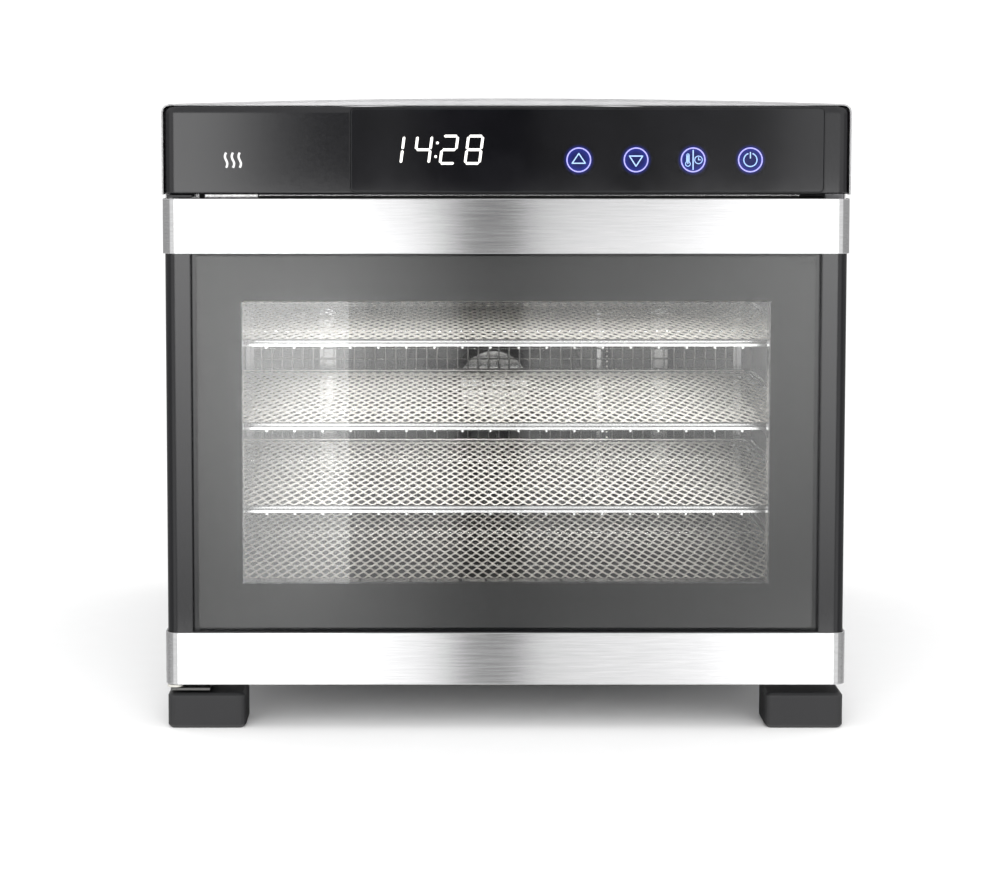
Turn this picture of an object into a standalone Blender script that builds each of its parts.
"""Cabinet food dehydrator: a steel case with a glazed front door, slide-in mesh trays and a rear fan.

Units are metres. +Z is up, the front faces -Y and +X is to the right of someone facing the door.
The origin lies on the surface the dehydrator stands on, under the middle of its case.
"""

import math

import bmesh
import bpy

# Overall size and general thicknesses
WIDTH = 0.345
DEPTH = 0.450
HALF_WIDTH = WIDTH / 2
REAR = DEPTH / 2
GAP = 0.0003
SHEET = 0.0008
LARGE = 0.5

# Casing
CASING_BOTTOM = 0.0195
CASING_TOP = 0.316
CASING_CORNER = 0.004
CROWN = 0.0028
HOOD_FRONT = -0.2225
REAR_FACE = 0.219
PANEL_HALF = HALF_WIDTH - SHEET - GAP

# Base and feet
FOOT_SIZE = (0.0395, 0.032, 0.018)
FOOT_FRONT_Y = -0.224
FOOT_REAR_Y = 0.180
FOOT_CORNER = 0.004
FOOT_EDGE = 0.0015
PAN_LOW = FOOT_SIZE[2] + GAP
PAN_HIGH = 0.0266

# Front frame and cavity
FRAME_FRONT = -0.2039
FRAME_SHEET = 0.001
MOUTH_HALF = 0.165
MOUTH_LOW = 0.030
MOUTH_TOP = 0.260
CAVITY_HALF = 0.1665
LINER_SHEET = 0.0007
CAVITY_FRONT = FRAME_FRONT + FRAME_SHEET + GAP
FLOOR_TOP = 0.0278
ROOF_LOW = 0.2624
BULKHEAD_FRONT = 0.155

# Trays
TRAY_COUNT = 5
TRAY_LOWEST = 0.0638
TRAY_PITCH = 0.0432
TRAY_HALF = 0.1628
TRAY_FRONT = -0.190
TRAY_BACK = 0.110
TRAY_HEIGHT = 0.0044
LEDGE_DEPTH = 0.008
LEDGE_NOSE = 0.0025
LEDGE_HEIGHT = 0.007
TRAY_LEVELS = [TRAY_LOWEST + TRAY_PITCH * i for i in range(TRAY_COUNT)]

# Fan bay
FAN_Z = 0.140
DEFLECTOR_FRONT = 0.128
INLET_RADIUS = 0.050
ROTOR_FRONT = 0.134
ROTOR_BACK = 0.149
HUB_RADIUS = 0.027
BLADE_TIP = 0.046
BLADE_COUNT = 9
SHAFT_RADIUS = 0.0025
HEATER_RADIUS = 0.072
HEATER_TUBE = 0.0032
HEATER_Y = 0.1415
HEATER_LEG_SPAN = 0.018
GUARD_FRONT = 0.1212
GUARD_BACK = 0.1236
EXHAUST = ((-0.045, 0.245), (0.045, 0.289))
GLAND = (0.128, 0.058)

# Controls
HOUSING_LOW = 0.2712
HOUSING_TOP = 0.3147
HOUSING_HALF = 0.1714
HOUSING_FRONT = -0.2245
HOUSING_BACK = -0.2057
HOUSING_WALL = 0.0025
GLASS_INLAY = ((-0.0777, 0.2723), (0.1583, 0.3137))
INLAY_THICKNESS = 0.001
DISPLAY = ((-0.0536, 0.2838), (-0.0098, 0.3018))

# Door
DOOR_HALF = 0.1714
DOOR_LOW = 0.0233
DOOR_TOP = 0.2680
DOOR_FRONT = -0.2239
DOOR_BACK = -0.2055
BAND_LOWER = (0.0227, 0.0492)
BAND_UPPER = (0.2413, 0.2688)
BAND_END_BACK = -0.2110
POST_CORNER = 0.005
GLASS_HALF = 0.1565
GLASS_LOW = 0.0500
GLASS_TOP = 0.2408
GLASS_FRONT = -0.2235
GLASS_BACK = -0.2197
REBATE_HALF = 0.1583
REBATE_FLOOR = -0.2183
WINDOW_HALF = 0.1330
WINDOW_LOW = 0.0743
WINDOW_TOP = 0.2171
INNER_PANEL = ((-0.157, 0.027), (0.166, 0.258))

# Door hinge: a steel pin at each end of the left post
HINGE = (-0.1678, -0.2203)
PIN_RADIUS = 0.0015
PIN_NECK = 0.0010
BUSH_BORE = 0.00157
BUSH_RADIUS = 0.0023
BUSH_HOLE = 0.0026
BUSH_DEPTH = 0.012
PLATE_LOWER = (0.0196, 0.0208)
PLATE_UPPER = (0.2694, 0.2706)

# Colour, roughness, metallic
FINISHES = {
    "brushed_steel": ((0.62, 0.62, 0.63), 0.30, 1.0),
    "liner_steel": ((0.55, 0.55, 0.56), 0.35, 1.0),
    "tray_wire": ((0.70, 0.69, 0.67), 0.25, 1.0),
    "black_gloss": ((0.012, 0.012, 0.013), 0.12, 0.0),
    "black_matte": ((0.030, 0.030, 0.032), 0.55, 0.0),
    "foot_plastic": ((0.055, 0.055, 0.057), 0.50, 0.0),
    "door_glass": ((0.55, 0.57, 0.58), 0.02, 0.0),
    "control_glass": ((0.010, 0.010, 0.012), 0.04, 0.0),
    "hinge_steel": ((0.10, 0.10, 0.105), 0.40, 0.8),
    "bright_steel": ((0.75, 0.75, 0.76), 0.18, 1.0),
    "nylon": ((0.80, 0.79, 0.75), 0.45, 0.0),
    "silicone": ((0.04, 0.04, 0.04), 0.70, 0.0),
    "circuit_board": ((0.02, 0.18, 0.07), 0.45, 0.0),
    "heater_sheath": ((0.32, 0.30, 0.28), 0.40, 1.0),
    "mineral_wool": ((0.78, 0.74, 0.62), 0.95, 0.0),
    "blue_case": ((0.03, 0.10, 0.35), 0.40, 0.0),
}


# ---------------------------------------------------------------- helpers


def clear_scene():
    """Removes the objects that a new file starts with."""
    for item in list(bpy.data.objects):
        bpy.data.objects.remove(item, do_unlink=True)


def finish(name):
    """The Principled material of a finish, made once."""
    made = bpy.data.materials.get(name)
    if made:
        return made
    colour, roughness, metallic = FINISHES[name]
    made = bpy.data.materials.new(name)
    made.use_nodes = True
    shader = made.node_tree.nodes["Principled BSDF"]
    shader.inputs["Base Color"].default_value = (*colour, 1.0)
    shader.inputs["Roughness"].default_value = roughness
    shader.inputs["Metallic"].default_value = metallic
    return made


def solid(name, body, material, smooth=False):
    """Turns a bmesh into a linked object with its faces pointing out."""
    bmesh.ops.recalc_face_normals(body, faces=body.faces)
    mesh = bpy.data.meshes.new(name)
    body.to_mesh(mesh)
    body.free()
    if smooth:
        mesh.shade_smooth()
        mesh.set_sharp_from_angle(angle=math.radians(40))
    made = bpy.data.objects.new(name, mesh)
    made.data.materials.append(finish(material))
    bpy.context.scene.collection.objects.link(made)
    return made


def place(point, axis, level):
    """An outline point (u, v) at a level along axis; X takes (y, z), Y takes (x, z), Z takes (x, y)."""
    u, v = point
    if axis == "X":
        return (level, u, v)
    if axis == "Y":
        return (u, level, v)
    return (u, v, level)


def arc(centre, radius, start, end, steps):
    """Points of an arc from start to end, in degrees."""
    points = []
    for i in range(steps + 1):
        angle = math.radians(start + (end - start) * i / steps)
        points.append((centre[0] + radius * math.cos(angle), centre[1] + radius * math.sin(angle)))
    return points


def circle(centre, radius, steps):
    """Points of a full circle."""
    return arc(centre, radius, 0.0, 360.0, steps)[:-1]


def rounded_rectangle(low, high, radius, steps=3):
    """Outline of a rectangle with rounded corners, counter-clockwise."""
    corners = (
        (high[0] - radius, high[1] - radius, 0.0),
        (low[0] + radius, high[1] - radius, 90.0),
        (low[0] + radius, low[1] + radius, 180.0),
        (high[0] - radius, low[1] + radius, 270.0),
    )
    points = []
    for centre_u, centre_v, start in corners:
        points += arc((centre_u, centre_v), radius, start, start + 90.0, steps)
    return points


def grow(low, high, amount):
    """A rectangle's corners moved out by amount, or in where it is negative."""
    return (low[0] - amount, low[1] - amount), (high[0] + amount, high[1] + amount)


def add_loft(body, loops, ring=False):
    """Adds faces through a row of loops: capped at both ends, or joined end to start as a ring."""
    rows = [[body.verts.new(point) for point in loop] for loop in loops]
    pairs = list(zip(rows, rows[1:]))
    if ring:
        pairs.append((rows[-1], rows[0]))
    else:
        body.faces.new(rows[0])
        body.faces.new(rows[-1])
    count = len(rows[0])
    for near, far in pairs:
        for i in range(count):
            j = (i + 1) % count
            body.faces.new((near[i], near[j], far[j], far[i]))


def loft(name, loops, material, ring=False, smooth=False):
    """Solid through a row of point loops."""
    body = bmesh.new()
    add_loft(body, loops, ring)
    return solid(name, body, material, smooth)


def prism(name, outline, axis, low, high, material, smooth=False):
    """Outline extruded along axis from low to high."""
    loops = [[place(point, axis, level) for point in outline] for level in (low, high)]
    return loft(name, loops, material, smooth=smooth)


def frame_prism(name, outer, inner, axis, low, high, material):
    """Flat ring between two outlines of equal point count, extruded along axis."""
    stations = ((outer, low), (outer, high), (inner, high), (inner, low))
    loops = [[place(point, axis, level) for point in outline] for outline, level in stations]
    return loft(name, loops, material, ring=True)


def turned(name, profile, centre, axis, material, steps=24, bored=False):
    """Body of revolution about axis through centre; profile is a list of (radius, level)."""
    loops = [[place(p, axis, level) for p in circle(centre, radius, steps)] for radius, level in profile]
    return loft(name, loops, material, ring=bored, smooth=True)


def box_points(low, high):
    """The two loops of a box between two corners."""
    outline = ((low[0], low[1]), (high[0], low[1]), (high[0], high[1]), (low[0], high[1]))
    return [[(u, v, level) for u, v in outline] for level in (low[2], high[2])]


def block(name, low, high, material):
    """Plain block between two corners."""
    return loft(name, box_points(low, high), material)


def soft_block(name, low, high, radius, material, steps=2):
    """Block with every edge rounded."""
    body = bmesh.new()
    add_loft(body, box_points(low, high))
    bmesh.ops.recalc_face_normals(body, faces=body.faces)
    bmesh.ops.bevel(
        body, geom=body.edges[:], offset=radius, segments=steps, profile=0.5, affect="EDGES"
    )
    return solid(name, body, material, smooth=True)


def many_blocks(name, boxes, material):
    """Separate blocks in one mesh, as an operand for a Boolean."""
    body = bmesh.new()
    for low, high in boxes:
        add_loft(body, box_points(low, high))
    return solid(name, body, material)


def combine(target, operand, operation):
    """Joins the operand to the target or cuts it away; the operand stays as a hidden helper."""
    operand.hide_render = True
    operand.display_type = "WIRE"
    modifier = target.modifiers.new(operand.name, "BOOLEAN")
    modifier.operation = operation
    modifier.solver = "EXACT"
    modifier.object = operand
    return target


def cut(target, *operands):
    """Cuts every operand out of the target."""
    for operand in operands:
        combine(target, operand, "DIFFERENCE")
    return target


def cut_box(target, name, low, high):
    """Cuts a block out of the target."""
    return cut(target, block(name, low, high, "black_matte"))


def drill(target, name, centre, axis, radius, low, high, steps=24):
    """Cuts a round hole out of the target."""
    outline = circle(centre, radius, steps)
    return cut(target, prism(name, outline, axis, low, high, "black_matte"))


def bars(start, end, openings, width):
    """Edges of equal openings between bars of a width, from start to end."""
    pitch = (end - start - width) / openings
    edges = []
    for i in range(openings + 1):
        edges += [start + i * pitch, start + i * pitch + width]
    return edges


def grille(name, axis, low, high, us, vs, material):
    """Flat grille whose openings lie where both edge lists have an odd cell."""
    body = bmesh.new()
    grid = {}

    def corner(i, j, level):
        key = (i, j, level)
        if key not in grid:
            grid[key] = body.verts.new(place((us[i], vs[j]), axis, level))
        return grid[key]

    def filled(i, j):
        inside = 0 <= i < len(us) - 1 and 0 <= j < len(vs) - 1
        return inside and not (i % 2 and j % 2)

    for i in range(len(us) - 1):
        for j in range(len(vs) - 1):
            if not filled(i, j):
                continue
            ends = ((i, j), (i + 1, j), (i + 1, j + 1), (i, j + 1))
            for level in (low, high):
                body.faces.new([corner(*end, level) for end in ends])
            neighbours = ((i, j - 1), (i + 1, j), (i, j + 1), (i - 1, j))
            for side, neighbour in enumerate(neighbours):
                if filled(*neighbour):
                    continue
                a = ends[side]
                b = ends[(side + 1) % 4]
                body.faces.new([corner(*a, low), corner(*b, low), corner(*b, high), corner(*a, high)])
    return solid(name, body, material)


def copies(names, places, mesh_maker):
    """One mesh shared by several objects, each at its own place."""
    first = mesh_maker(names[0])
    made = [first]
    for name in names[1:]:
        twin = bpy.data.objects.new(name, first.data)
        bpy.context.scene.collection.objects.link(twin)
        made.append(twin)
    for item, spot in zip(made, places):
        item.location = spot
    return made


def pivot(name, spot, pieces):
    """Empty on a joint's axis that carries the pieces of one moving body."""
    empty = bpy.data.objects.new(name, None)
    empty.location = spot
    bpy.context.scene.collection.objects.link(empty)
    bpy.context.view_layer.update()
    for piece in pieces:
        piece.parent = empty
        piece.matrix_parent_inverse = empty.matrix_world.inverted()
    return empty


# ---------------------------------------------------------------- case


def hood_path(inset):
    """Path over the casing from its left lower edge to its right lower edge, inset from the outside."""
    corner = HALF_WIDTH - CASING_CORNER
    centre_z = CASING_TOP - CASING_CORNER
    radius = CASING_CORNER - inset
    path = [(-HALF_WIDTH + inset, CASING_BOTTOM)]
    path += arc((-corner, centre_z), radius, 180.0, 90.0, 3)
    steps = 12
    for i in range(1, steps):
        x = corner * (2 * i / steps - 1)
        path.append((x, CASING_TOP - inset + crown_rise(x)))
    path += arc((corner, centre_z), radius, 90.0, 0.0, 3)
    path.append((HALF_WIDTH - inset, CASING_BOTTOM))
    return path


def crown_rise(x):
    """Height of the top sheet over its side edges at x."""
    return CROWN * (1 - (x / (HALF_WIDTH - CASING_CORNER)) ** 2)


def build_casing():
    """Wrap-round sheet: two sides, a crowned top and a turned-down hem over the controls."""
    outline = hood_path(0.0) + hood_path(SHEET)[::-1]
    casing = prism("outer_casing", outline, "Y", HOOD_FRONT, REAR_FACE, "brushed_steel", smooth=True)
    hem_half = 0.166
    hem_low = HOUSING_TOP + GAP
    hem = [(-hem_half, hem_low), (hem_half, hem_low)]
    steps = 12
    for i in range(steps + 1):
        x = hem_half * (1 - 2 * i / steps)
        hem.append((x, CASING_TOP - SHEET / 2 + crown_rise(x)))
    hem_front = HOOD_FRONT + 0.0002
    fold = prism("hem_operand", hem, "Y", hem_front, hem_front + 0.001, "brushed_steel")
    combine(casing, fold, "UNION")
    door_space = ((-LARGE, -LARGE, -LARGE), (LARGE, FRAME_FRONT, HOUSING_LOW - 0.0004))
    cut_box(casing, "door_space_operand", *door_space)
    cut(casing, many_blocks("side_vent_operand", side_vents(), "black_matte"))


def side_vents():
    """Cooling slots beside the motor, through both sides of the casing at once."""
    boxes = []
    for column in range(2):
        for row in range(4):
            y = 0.170 + 0.024 * column
            z = 0.095 + 0.012 * row
            boxes.append(((-LARGE, y, z), (LARGE, y + 0.018, z + 0.003)))
    return boxes


def build_base():
    """Folded base pan, open at the top, with air slots and a notch for the lower hinge plate."""
    low = (-PANEL_HALF, CAVITY_FRONT)
    high = (PANEL_HALF, REAR_FACE - SHEET - GAP)
    outer = rounded_rectangle(low, high, 0.004)
    inner = rounded_rectangle(*grow(low, high, -SHEET), 0.0032)
    floor = PAN_LOW + SHEET
    stations = ((outer, PAN_LOW), (outer, PAN_HIGH), (inner, PAN_HIGH), (inner, floor))
    loops = [[(x, y, level) for x, y in outline] for outline, level in stations]
    pan = loft("base_pan", loops, "liner_steel")
    slots = []
    for i in range(-3, 4):
        x = 0.022 * i
        slots.append(((x - 0.008, 0.176, 0.0), (x + 0.008, 0.180, 0.025)))
    cut(pan, many_blocks("base_slot_operand", slots, "black_matte"))
    cut_box(pan, "hinge_notch_operand", (-LARGE, -LARGE, 0.0193), (-0.1488, -0.200, LARGE))


def build_feet():
    """Four rounded feet on one shared mesh."""
    width, depth, height = FOOT_SIZE

    def foot(name):
        loops = []
        stations = ((0.0, FOOT_EDGE), (FOOT_EDGE, 0.0), (height - FOOT_EDGE, 0.0), (height, FOOT_EDGE))
        for level, inset in stations:
            low, high = grow((-width / 2, -depth / 2), (width / 2, depth / 2), -inset)
            outline = rounded_rectangle(low, high, FOOT_CORNER - inset, 4)
            loops.append([(x, y, level) for x, y in outline])
        return loft(name, loops, "foot_plastic", smooth=True)

    names = ("foot_front_left", "foot_front_right", "foot_rear_left", "foot_rear_right")
    x = HALF_WIDTH - 0.001 - width / 2
    front_y = FOOT_FRONT_Y + depth / 2
    rear_y = FOOT_REAR_Y + depth / 2
    places = ((-x, front_y, 0.0), (x, front_y, 0.0), (-x, rear_y, 0.0), (x, rear_y, 0.0))
    copies(names, places, foot)


def build_front_frame():
    """Flat frame round the cavity mouth that also backs the controls."""
    outer = rounded_rectangle((-PANEL_HALF, 0.0212), (PANEL_HALF, HOUSING_TOP), 0.002)
    inner = rounded_rectangle((-MOUTH_HALF, MOUTH_LOW), (MOUTH_HALF, MOUTH_TOP), 0.0008)
    back = FRAME_FRONT + FRAME_SHEET
    frame = frame_prism("front_frame", outer, inner, "Y", FRAME_FRONT, back, "brushed_steel")
    cut_box(frame, "catch_slot_operand", (0.1497, -0.21, 0.2632), (0.1623, -0.19, 0.2695))
    cut_box(frame, "cable_slot_operand", (0.040, -0.21, 0.285), (0.070, -0.19, 0.297))


def build_rear_panel():
    """Flat rear panel under the crowned top, with motor vents, an exhaust and a cord hole."""
    half = PANEL_HALF
    low = CASING_BOTTOM
    top = CASING_TOP - SHEET - GAP
    outline = [(-half, low), (half, low), (half, top - 0.003)]
    steps = 10
    for i in range(steps + 1):
        x = (half - 0.003) * (1 - 2 * i / steps)
        outline.append((x, top + crown_rise(x)))
    outline.append((-half, top - 0.003))
    panel = prism("rear_panel", outline, "Y", REAR_FACE - SHEET, REAR_FACE, "liner_steel")
    slots = []
    for side in (-1, 1):
        for row in range(7):
            z = FAN_Z - 0.030 + 0.010 * row
            x = side * 0.024
            slots.append(((x - 0.018, 0.2, z - 0.002), (x + 0.018, 0.24, z + 0.002)))
    for row in range(4):
        z = EXHAUST[0][1] + 0.008 + 0.009 * row
        slots.append(((-0.036, 0.2, z - 0.002), (0.036, 0.24, z + 0.002)))
    cut(panel, many_blocks("rear_slot_operand", slots, "black_matte"))
    drill(panel, "gland_hole_operand", GLAND, "Y", 0.0075, 0.2, 0.24)


def build_rear_fittings():
    """Exhaust cover, cord gland and terminal block."""
    us = bars(EXHAUST[0][0], EXHAUST[1][0], 2, 0.005)
    vs = bars(EXHAUST[0][1], EXHAUST[1][1], 4, 0.004)
    grille("exhaust_cover", "Y", REAR_FACE + GAP, REAR, us, vs, "black_matte")
    body_radius = 0.0072
    flange = 0.011
    bore = 0.0042
    inside = REAR_FACE - SHEET - GAP
    profile = [
        (bore, inside - 0.007),
        (flange, inside - 0.007),
        (flange, inside),
        (body_radius, inside),
        (body_radius, REAR_FACE + GAP),
        (flange, REAR_FACE + GAP),
        (flange, REAR_FACE + 0.003),
        (0.008, REAR - 0.0005),
        (bore, REAR - 0.0005),
    ]
    turned("cord_gland", profile, GLAND, "Y", "black_matte", bored=True)
    soft_block("terminal_block", (0.108, 0.188, 0.0195), (0.142, 0.206, 0.0335), 0.001, "nylon")


# ---------------------------------------------------------------- cavity


def liner_outline():
    """Right-hand liner seen from the front: a wall with one pressed ledge under each tray."""
    wall = CAVITY_HALF
    nose = CAVITY_HALF - LEDGE_DEPTH
    skin = LINER_SHEET
    bottom = FLOOR_TOP - 0.0009
    top = ROOF_LOW + 0.0009
    inner = [(wall, bottom)]
    outer = [(wall + skin, bottom)]
    for level in TRAY_LEVELS:
        ledge = level - TRAY_HEIGHT / 2 - GAP
        inner += [(wall, ledge - LEDGE_HEIGHT), (nose, ledge - LEDGE_NOSE), (nose, ledge), (wall, ledge)]
        outer += [
            (wall + skin, ledge - LEDGE_HEIGHT + 0.8 * skin),
            (nose + skin, ledge - LEDGE_NOSE + 0.2 * skin),
            (nose + skin, ledge - skin),
            (wall + skin, ledge - skin),
        ]
    inner.append((wall, top))
    outer.append((wall + skin, top))
    return inner + outer[::-1]


def build_cavity():
    """Side liners, floor and roof of the drying space."""
    back = BULKHEAD_FRONT - GAP
    outline = liner_outline()
    mirrored = [(-x, z) for x, z in outline]
    prism("side_liner_right", outline, "Y", CAVITY_FRONT, back, "liner_steel")
    prism("side_liner_left", mirrored, "Y", CAVITY_FRONT, back, "liner_steel")
    half = CAVITY_HALF - GAP
    for name, low in (("cavity_floor", FLOOR_TOP - LINER_SHEET), ("cavity_roof", ROOF_LOW)):
        block(name, (-half, CAVITY_FRONT, low), (half, back, low + LINER_SHEET), "liner_steel")


def build_trays():
    """Mesh trays that slide on the ledges; each is a rim with bars."""
    us = bars(-TRAY_HALF, TRAY_HALF, 8, 0.004)
    vs = bars(TRAY_FRONT, TRAY_BACK, 3, 0.004)
    half = TRAY_HEIGHT / 2

    def tray(name):
        return grille(name, "Z", -half, half, us, vs, "tray_wire")

    names = [f"tray_{i + 1}" for i in range(TRAY_COUNT)]
    places = [(0.0, 0.0, level) for level in TRAY_LEVELS]
    copies(names, places, tray)


def build_drip_tray():
    """Shallow pan that lies on the cavity floor."""
    low = (-0.160, TRAY_FRONT)
    high = (0.160, TRAY_BACK)
    base = FLOOR_TOP + GAP
    rim = base + 0.009
    outer = rounded_rectangle(low, high, 0.008)
    inner = rounded_rectangle(*grow(low, high, -LINER_SHEET), 0.0073)
    stations = ((outer, base), (outer, rim), (inner, rim), (inner, base + LINER_SHEET))
    loops = [[(x, y, level) for x, y in outline] for outline, level in stations]
    loft("drip_tray", loops, "liner_steel")


# ---------------------------------------------------------------- fan bay


def build_bulkhead():
    """Back wall of the cavity with holes for the shaft, the heater legs, the probe and the exhaust."""
    back = BULKHEAD_FRONT + SHEET
    low = (-0.1690, BULKHEAD_FRONT, PAN_HIGH + GAP)
    wall = block("rear_bulkhead", low, (0.1690, back, 0.2900), "liner_steel")
    drill(wall, "shaft_hole_operand", (0.0, FAN_Z), "Y", 0.005, 0.15, 0.16)
    for side, name in ((-1, "left_leg_hole_operand"), (1, "right_leg_hole_operand")):
        spot = (side * HEATER_LEG_SPAN, FAN_Z - HEATER_RADIUS)
        drill(wall, name, spot, "Y", HEATER_TUBE + 0.001, 0.15, 0.16, steps=16)
    slots = []
    for row in range(3):
        z = 0.2475 + 0.005 * row
        slots.append(((-0.036, 0.15, z), (0.036, 0.16, z + 0.002)))
    cut(wall, many_blocks("exhaust_slot_operand", slots, "black_matte"))


def octagon(half_u, half_v, chamfer, centre_v):
    """Chamfered rectangle, counter-clockwise."""
    a = half_u - chamfer
    b = half_v - chamfer
    ring = ((half_u, b), (a, half_v), (-a, half_v), (-half_u, b))
    ring += ((-half_u, -b), (-a, -half_v), (a, -half_v), (half_u, -b))
    return [(u, centre_v + v) for u, v in ring]


def build_deflector():
    """Pressed cover over the fan and heater, with a round air inlet and a rolled ring round it."""
    back = BULKHEAD_FRONT - GAP
    wide = octagon(0.118, 0.100, 0.034, FAN_Z)
    narrow = octagon(0.106, 0.088, 0.030, FAN_Z)
    wide_inner = octagon(0.118 - SHEET, 0.100 - SHEET, 0.034, FAN_Z)
    narrow_inner = octagon(0.106 - SHEET, 0.088 - SHEET, 0.030, FAN_Z)
    front = DEFLECTOR_FRONT
    stations = ((narrow, front), (wide, back), (wide_inner, back), (narrow_inner, front + SHEET))
    loops = [[place(point, "Y", level) for point in outline] for outline, level in stations]
    cover = loft("air_deflector", loops, "liner_steel")
    drill(cover, "inlet_operand", (0.0, FAN_Z), "Y", INLET_RADIUS, 0.12, 0.14, steps=32)
    near = DEFLECTOR_FRONT - GAP
    profile = [
        (INLET_RADIUS + 0.0005, near),
        (INLET_RADIUS + 0.0075, near),
        (INLET_RADIUS + 0.0060, near - 0.0018),
        (INLET_RADIUS + 0.0025, near - 0.0024),
        (INLET_RADIUS + 0.0005, near - 0.0014),
    ]
    turned("inlet_ring", profile, (0.0, FAN_Z), "Y", "bright_steel", steps=32, bored=True)


def build_guard():
    """Flat wire guard in front of the fan bay."""
    us = bars(-0.156, 0.156, 7, 0.0024)
    vs = bars(0.036, 0.254, 5, 0.0024)
    grille("back_guard", "Y", GUARD_FRONT, GUARD_BACK, us, vs, "tray_wire")


def build_rotor():
    """Hub with pitched blades, and the shaft that carries it."""
    centre = (0.0, FAN_Z)
    bore = SHAFT_RADIUS + GAP
    profile = [
        (bore, ROTOR_BACK),
        (HUB_RADIUS, ROTOR_BACK),
        (HUB_RADIUS, ROTOR_FRONT + 0.004),
        (HUB_RADIUS - 0.005, ROTOR_FRONT),
        (bore, ROTOR_FRONT),
    ]
    hub = turned("fan_rotor", profile, centre, "Y", "bright_steel", steps=32, bored=True)
    blades = bmesh.new()
    middle = (ROTOR_FRONT + ROTOR_BACK) / 2 + 0.002
    for i in range(BLADE_COUNT):
        add_loft(blades, blade_sections(2 * math.pi * i / BLADE_COUNT, middle))
    combine(hub, solid("blade_operand", blades, "bright_steel"), "UNION")
    profile = ((SHAFT_RADIUS, ROTOR_FRONT - 0.0015), (SHAFT_RADIUS, 0.182))
    shaft = turned("motor_shaft", profile, centre, "Y", "bright_steel", steps=16)
    pivot("fan_pivot", (0.0, middle, FAN_Z), (hub, shaft))


def blade_sections(turn, middle):
    """Cross-sections of one blade from root to tip, turned about the fan's axis."""
    sections = []
    for k in range(4):
        share = k / 3
        radius = HUB_RADIUS - 0.003 + share * (BLADE_TIP - HUB_RADIUS + 0.003)
        pitch = math.radians(48 - 14 * share)
        chord = 0.0052 + 0.0008 * share
        thick = 0.0005
        section = []
        for along, across in ((-chord, -thick), (chord, -thick), (chord, thick), (-chord, thick)):
            side = along * math.cos(pitch) - across * math.sin(pitch)
            depth = along * math.sin(pitch) + across * math.cos(pitch)
            x = radius * math.cos(turn) - side * math.sin(turn)
            z = radius * math.sin(turn) + side * math.cos(turn)
            section.append((x, middle + depth, FAN_Z + z))
        sections.append(section)
    return sections


def build_heater():
    """Ring heater round the rotor whose two legs pass back through the bulkhead."""
    low = FAN_Z - HEATER_RADIUS
    leg_back = 0.168
    opening = math.degrees(math.asin(HEATER_LEG_SPAN / HEATER_RADIUS))
    ring = arc((0.0, FAN_Z), HEATER_RADIUS, -90 + opening + 6, 270 - opening - 6, 34)
    right = [(HEATER_LEG_SPAN, leg_back, low), (HEATER_LEG_SPAN, HEATER_Y + 0.005, low)]
    right.append((HEATER_LEG_SPAN + 0.002, HEATER_Y + 0.001, low))
    left = [(-x, y, z) for x, y, z in reversed(right)]
    route = right + [(x, HEATER_Y, z) for x, z in ring] + left
    curve = bpy.data.curves.new("heater_element", "CURVE")
    curve.dimensions = "3D"
    curve.bevel_depth = HEATER_TUBE
    curve.bevel_resolution = 2
    curve.use_fill_caps = True
    spline = curve.splines.new("POLY")
    spline.points.add(len(route) - 1)
    for spot, point in zip(spline.points, route):
        spot.co = (*point, 1.0)
    curve.materials.append(finish("heater_sheath"))
    heater = bpy.data.objects.new("heater_element", curve)
    bpy.context.scene.collection.objects.link(heater)


def build_motor():
    """Motor on a mounting plate behind the bulkhead, with the heat cut-out and the air probe."""
    plate_front = BULKHEAD_FRONT + SHEET + GAP
    plate_back = plate_front + 0.0012
    outline = rounded_rectangle((-0.046, FAN_Z - 0.034), (0.046, FAN_Z + 0.034), 0.006)
    plate = prism("motor_mount", outline, "Y", plate_front, plate_back, "liner_steel")
    drill(plate, "mount_hole_operand", (0.0, FAN_Z), "Y", 0.008, 0.15, 0.17)
    front = plate_back + GAP
    centre = (0.0, FAN_Z)
    bore = SHAFT_RADIUS + GAP
    profile = [
        (bore, front),
        (0.0225, front),
        (0.0225, front + 0.006),
        (0.0290, front + 0.008),
        (0.0290, front + 0.024),
        (0.0225, front + 0.026),
        (0.0225, front + 0.031),
        (0.0080, front + 0.033),
        (bore, front + 0.033),
    ]
    turned("fan_motor", profile, centre, "Y", "bright_steel", steps=28, bored=True)
    profile = ((0.008, plate_front), (0.008, plate_front + 0.004), (0.0055, plate_front + 0.007))
    turned("thermal_cutout", profile, (0.070, 0.215), "Y", "black_matte", steps=20)
    profile = ((0.002, 0.127), (0.002, 0.148), (0.004, 0.149), (0.004, BULKHEAD_FRONT - GAP))
    turned("temperature_probe", profile, (0.137, 0.214), "Y", "bright_steel", steps=12)


# ---------------------------------------------------------------- controls


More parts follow.
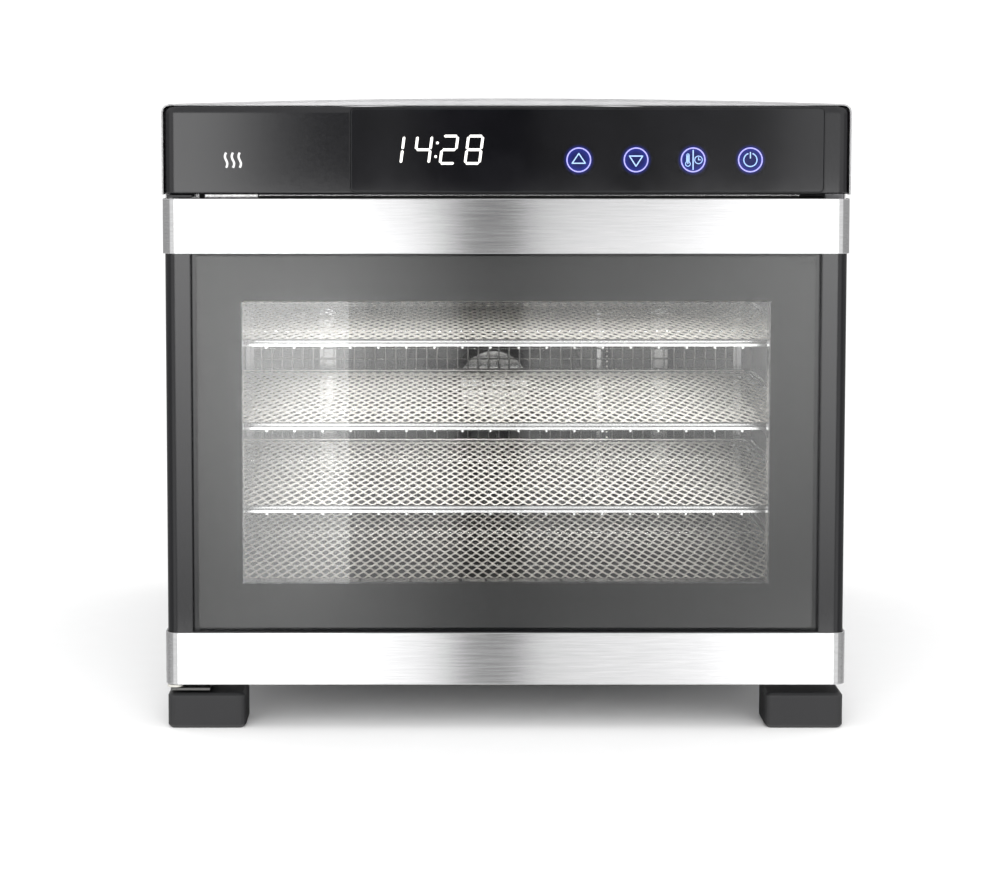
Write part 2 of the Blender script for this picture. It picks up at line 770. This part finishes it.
def build_housing():
    """Glossy control housing: a shell open at the back, with the inlay's recess in its face."""
    edge = 0.0007
    shoulder = 0.0032
    stations = [(HOUSING_LOW, edge, 0.0), (HOUSING_LOW + edge, 0.0, 0.0)]
    for i in range(4):
        turn = math.radians(30 * i)
        drop = 1 - math.cos(turn)
        stations.append((HOUSING_TOP - shoulder * (1 - math.sin(turn)), edge * drop, shoulder * drop))
    loops = []
    for level, inset, narrowing in stations:
        outline = housing_plan(HOUSING_HALF - narrowing, inset)
        loops.append([(x, y, level) for x, y in outline])
    housing = loft("control_housing", loops, "black_gloss", smooth=True)
    wall = HOUSING_WALL
    inside_low = (-HOUSING_HALF + wall, HOUSING_FRONT + wall, HOUSING_LOW + wall)
    cut_box(housing, "housing_space_operand", inside_low, (HOUSING_HALF - wall, -0.1, HOUSING_TOP - wall))
    low_corner, high_corner = grow(*GLASS_INLAY, GAP)
    recess = rounded_rectangle(low_corner, high_corner, 0.0022)
    floor = HOUSING_FRONT + INLAY_THICKNESS + GAP
    cut(housing, prism("inlay_recess_operand", recess, "Y", -0.3, floor, "black_matte"))
    low_corner, high_corner = grow(*DISPLAY, GAP)
    window = ((low_corner[0], -0.3, low_corner[1]), (high_corner[0], -0.2, high_corner[1]))
    cut_box(housing, "display_window_operand", *window)


def housing_plan(half, inset):
    """Plan outline of the housing with rounded front corners, its front moved back by inset."""
    radius = 0.005
    near = HOUSING_FRONT + inset
    points = arc((-half + radius, near + radius), radius, 180.0, 270.0, 4)
    points += arc((half - radius, near + radius), radius, 270.0, 360.0, 4)
    points += [(half, HOUSING_BACK), (-half, HOUSING_BACK)]
    return points


def build_control_parts():
    """Inlaid glass, display and the board behind them."""
    outline = rounded_rectangle(*GLASS_INLAY, 0.002)
    prism("control_glass", outline, "Y", HOUSING_FRONT, HOUSING_FRONT + INLAY_THICKNESS, "control_glass")
    near = HOUSING_FRONT + INLAY_THICKNESS + GAP
    low = (DISPLAY[0][0], near, DISPLAY[0][1])
    block("display_module", low, (DISPLAY[1][0], -0.2140, DISPLAY[1][1]), "black_matte")
    board_y = -0.2140 + GAP
    block("display_board", (-0.070, board_y, 0.277), (0.150, board_y + 0.0016, 0.309), "circuit_board")


def build_electronics():
    """Insulated power board in the space over the cavity."""
    pad_low = ROOF_LOW + LINER_SHEET + GAP
    pad_top = pad_low + 0.008
    soft_block("insulation_pad", (-0.140, -0.170, pad_low), (0.140, 0.140, pad_top), 0.002, "mineral_wool")
    tray_low = pad_top + GAP
    tray = block("board_tray", (-0.152, -0.130, tray_low), (-0.028, -0.030, tray_low + 0.002), "nylon")
    posts = []
    for x in (-0.146, -0.034):
        for y in (-0.124, -0.036):
            posts.append(((x - 0.003, y - 0.003, tray_low + 0.001), (x + 0.003, y + 0.003, tray_low + 0.007)))
    combine(tray, many_blocks("post_operand", posts, "nylon"), "UNION")
    board_low = tray_low + 0.007 + GAP
    board_top = board_low + 0.0016
    block("power_board", (-0.150, -0.128, board_low), (-0.030, -0.032, board_top), "circuit_board")
    base = board_top + GAP
    soft_block("transformer", (-0.140, -0.118, base), (-0.108, -0.088, base + 0.022), 0.0015, "black_matte")
    soft_block("relay", (-0.092, -0.112, base), (-0.073, -0.096, base + 0.015), 0.001, "blue_case")
    profile = ((0.008, base), (0.008, base + 0.019), (0.0065, base + 0.0205))
    turned("capacitor", profile, (-0.055, -0.060), "Z", "black_matte", steps=20)


# ---------------------------------------------------------------- door


def door_plan():
    """Door frame seen from above; its rear left corner is round, so that it clears the case as it turns."""
    points = arc((-DOOR_HALF + POST_CORNER, DOOR_FRONT + POST_CORNER), POST_CORNER, 180.0, 270.0, 5)
    points += arc((DOOR_HALF - POST_CORNER, DOOR_FRONT + POST_CORNER), POST_CORNER, 270.0, 360.0, 5)
    points += arc((DOOR_HALF - 0.003, DOOR_BACK - 0.003), 0.003, 0.0, 90.0, 3)
    points += arc((-DOOR_HALF + 0.010, DOOR_BACK - 0.010), 0.010, 90.0, 180.0, 5)
    return points


def build_door_frame():
    """Moulded frame with a rebate for the glass, a window and a hollow back."""
    frame = prism("door_frame", door_plan(), "Z", DOOR_LOW, DOOR_TOP, "black_gloss", smooth=True)
    rebate = ((-REBATE_HALF, -0.3, BAND_LOWER[1] + 0.0004), (REBATE_HALF, REBATE_FLOOR, BAND_UPPER[0] - GAP))
    cut_box(frame, "glass_rebate_operand", *rebate)
    window = rounded_rectangle((-WINDOW_HALF, WINDOW_LOW), (WINDOW_HALF, WINDOW_TOP), 0.001, 2)
    cut(frame, prism("window_operand", window, "Y", -0.3, -0.1, "black_matte"))
    low, high = grow(*INNER_PANEL, GAP)
    cut_box(frame, "panel_rebate_operand", (low[0], -0.2075, low[1]), (high[0], -0.1, high[1]))
    outer = rounded_rectangle(*grow(*INNER_PANEL, -0.002), 0.004)
    collar = rounded_rectangle((-0.136, 0.0713), (0.136, 0.2201), 0.004)
    cut(frame, frame_prism("hollow_operand", outer, collar, "Y", -0.216, -0.206, "black_matte"))
    drill(frame, "upper_bush_operand", HINGE, "Z", BUSH_HOLE, DOOR_TOP - BUSH_DEPTH, 0.3)
    drill(frame, "lower_bush_operand", HINGE, "Z", BUSH_HOLE, 0.0, DOOR_LOW + BUSH_DEPTH)
    cut_box(frame, "strike_pocket_operand", (0.1497, -0.2067, 0.2607), (0.1623, -0.1, 0.2668))
    return frame


def build_band(name, levels):
    """Steel band that wraps the front of the door frame and both its ends."""
    reach = GAP + SHEET
    half = DOOR_HALF + reach
    radius = POST_CORNER + reach
    near = DOOR_FRONT - reach
    outer = [(-half, BAND_END_BACK)]
    outer += arc((-half + radius, near + radius), radius, 180.0, 270.0, 5)
    outer += arc((half - radius, near + radius), radius, 270.0, 360.0, 5)
    outer.append((half, BAND_END_BACK))
    inner = [(-half + SHEET, BAND_END_BACK)]
    inner += arc((-half + radius, near + radius), radius - SHEET, 180.0, 270.0, 5)
    inner += arc((half - radius, near + radius), radius - SHEET, 270.0, 360.0, 5)
    inner.append((half - SHEET, BAND_END_BACK))
    return prism(name, outer + inner[::-1], "Z", *levels, "brushed_steel", smooth=True)


def build_door():
    """Door with its glass, trim and fittings, all carried by the hinge pivot."""
    pieces = [build_door_frame()]
    pieces.append(build_band("door_band_upper", BAND_UPPER))
    pieces.append(build_band("door_band_lower", BAND_LOWER))
    glass_low = (-GLASS_HALF, GLASS_LOW)
    glass_high = (GLASS_HALF, GLASS_TOP)
    outline = rounded_rectangle(glass_low, glass_high, 0.0015, 2)
    pieces.append(prism("door_glass", outline, "Y", GLASS_FRONT, GLASS_BACK, "door_glass"))
    outer = rounded_rectangle(*grow(glass_low, glass_high, -0.001), 0.0015)
    opening = rounded_rectangle((-0.1336, 0.0737), (0.1336, 0.2177), 0.0015)
    seal_y = (GLASS_BACK + GAP, REBATE_FLOOR - GAP)
    pieces.append(frame_prism("glass_gasket", outer, opening, "Y", *seal_y, "silicone"))
    outer = rounded_rectangle(*INNER_PANEL, 0.001)
    opening = rounded_rectangle((-0.1345, 0.0728), (0.1345, 0.2186), 0.002)
    panel_y = (-0.2072, -0.2060)
    pieces.append(frame_prism("door_inner_panel", outer, opening, "Y", *panel_y, "liner_steel"))
    pieces.append(block("strike_plate", (0.1500, -0.2064, 0.2610), (0.1620, -0.2056, 0.2665), "bright_steel"))
    for name, z in (("door_bumper_upper", 0.2310), ("door_bumper_lower", 0.0600)):
        profile = ((0.0020, DOOR_BACK + GAP), (0.0020, DOOR_BACK + 0.0010), (0.0014, DOOR_BACK + 0.0013))
        pieces.append(turned(name, profile, (0.1686 - 0.0007, z), "Y", "silicone", steps=12))
    pieces += build_bushes()
    pivot("door_pivot", (*HINGE, 0.0), pieces)


def build_bushes():
    """Nylon bushes in the ends of the left post; the lower one has a flange that the door rests on."""
    top = DOOR_TOP
    floor = DOOR_TOP - BUSH_DEPTH + GAP
    profile = [(BUSH_BORE, floor), (BUSH_RADIUS, floor), (BUSH_RADIUS, top), (BUSH_BORE, top)]
    upper = turned("hinge_bush_upper", profile, HINGE, "Z", "nylon", bored=True)
    low = PLATE_LOWER[1] + GAP
    seat = BAND_LOWER[0] - GAP
    flange = 0.0040
    roof = DOOR_LOW + BUSH_DEPTH - GAP
    profile = [
        (BUSH_BORE, low),
        (flange, low),
        (flange, seat),
        (BUSH_RADIUS, seat),
        (BUSH_RADIUS, roof),
        (BUSH_BORE, roof),
    ]
    lower = turned("hinge_bush_lower", profile, HINGE, "Z", "nylon", bored=True)
    return [upper, lower]


def build_hinges():
    """Fixed plates and pins that the door turns on."""
    left = -0.1699
    near = HINGE[1] - 0.0037
    leg_front = -0.2054
    leg_back = FRAME_FRONT - GAP
    low, high = PLATE_UPPER
    leg_top = 0.292
    outline = [(leg_back, low), (near, low), (near, high), (leg_front, high)]
    outline += [(leg_front, leg_top), (leg_back, leg_top)]
    upper = prism("hinge_plate_upper", outline, "X", left, -0.1575, "hinge_steel")
    low, high = PLATE_LOWER
    lower = block("hinge_plate_lower", (left, near, low), (-0.150, -0.186, high), "hinge_steel")
    for plate, name in ((upper, "upper_rivet_operand"), (lower, "lower_rivet_operand")):
        drill(plate, name, HINGE, "Z", PIN_NECK + GAP, 0.0, 0.3, steps=12)
    tip = DOOR_TOP - BUSH_DEPTH + 0.001
    shoulder = PLATE_UPPER[0] - GAP
    profile = ((PIN_RADIUS, tip), (PIN_RADIUS, shoulder), (PIN_NECK, shoulder), (PIN_NECK, PLATE_UPPER[1]))
    turned("hinge_pin_upper", profile, HINGE, "Z", "bright_steel")
    tip = DOOR_LOW + BUSH_DEPTH - 0.001
    shoulder = PLATE_LOWER[1] + GAP
    profile = ((PIN_RADIUS, tip), (PIN_RADIUS, shoulder), (PIN_NECK, shoulder), (PIN_NECK, PLATE_LOWER[0]))
    turned("hinge_pin_lower", profile, HINGE, "Z", "bright_steel")


def build_catch():
    """Magnet catch in the front frame, above the cavity mouth."""
    soft_block("magnet_catch", (0.1500, -0.2052, 0.2635), (0.1620, -0.1900, 0.2692), 0.0006, "black_matte")


# ---------------------------------------------------------------- assembly

clear_scene()
build_casing()
build_base()
build_feet()
build_front_frame()
build_rear_panel()
build_rear_fittings()
build_cavity()
build_trays()
build_drip_tray()
build_bulkhead()
build_deflector()
build_guard()
build_rotor()
build_heater()
build_motor()
build_housing()
build_control_parts()
build_electronics()
build_hinges()
build_catch()
build_door()
